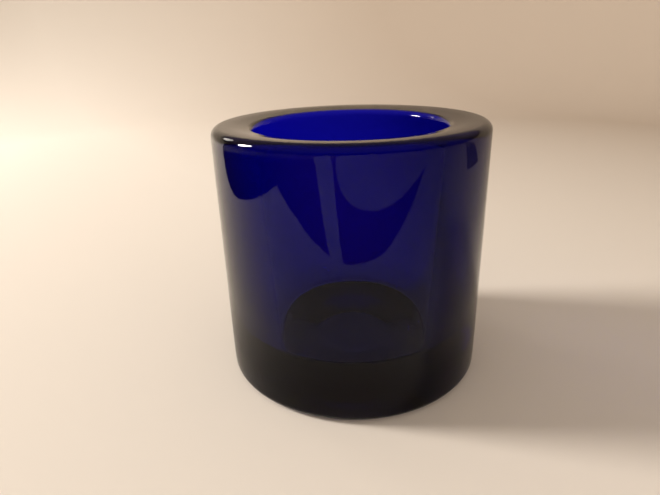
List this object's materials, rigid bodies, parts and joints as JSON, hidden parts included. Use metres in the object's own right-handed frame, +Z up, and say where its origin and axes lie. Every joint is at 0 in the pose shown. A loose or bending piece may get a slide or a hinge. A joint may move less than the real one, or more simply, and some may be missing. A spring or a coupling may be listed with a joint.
{
  "type": "tealight candle holder",
  "caption": "Round, straight-sided, thick-walled cobalt blue glass holder with a heavy solid base, a broad rounded rim that falls away gently inwards and an open, slightly tapered cavity for a tealight candle.",
  "frame": {"origin": "centre of the plane that the holder stands on", "axes": "+Z up along the axis of the body, from the base to the open rim; the holder is round, so X and Y are any two level directions"},
  "size_m": [0.063, 0.063, 0.06],
  "materials": {
    "cobalt_glass": "cobalt blue soda-lime glass, press-moulded and fire-polished, clear and glossy"
  },
  "bodies": {
    "root": {"glass_body": "cobalt_glass"}
  },
  "joints": []
}
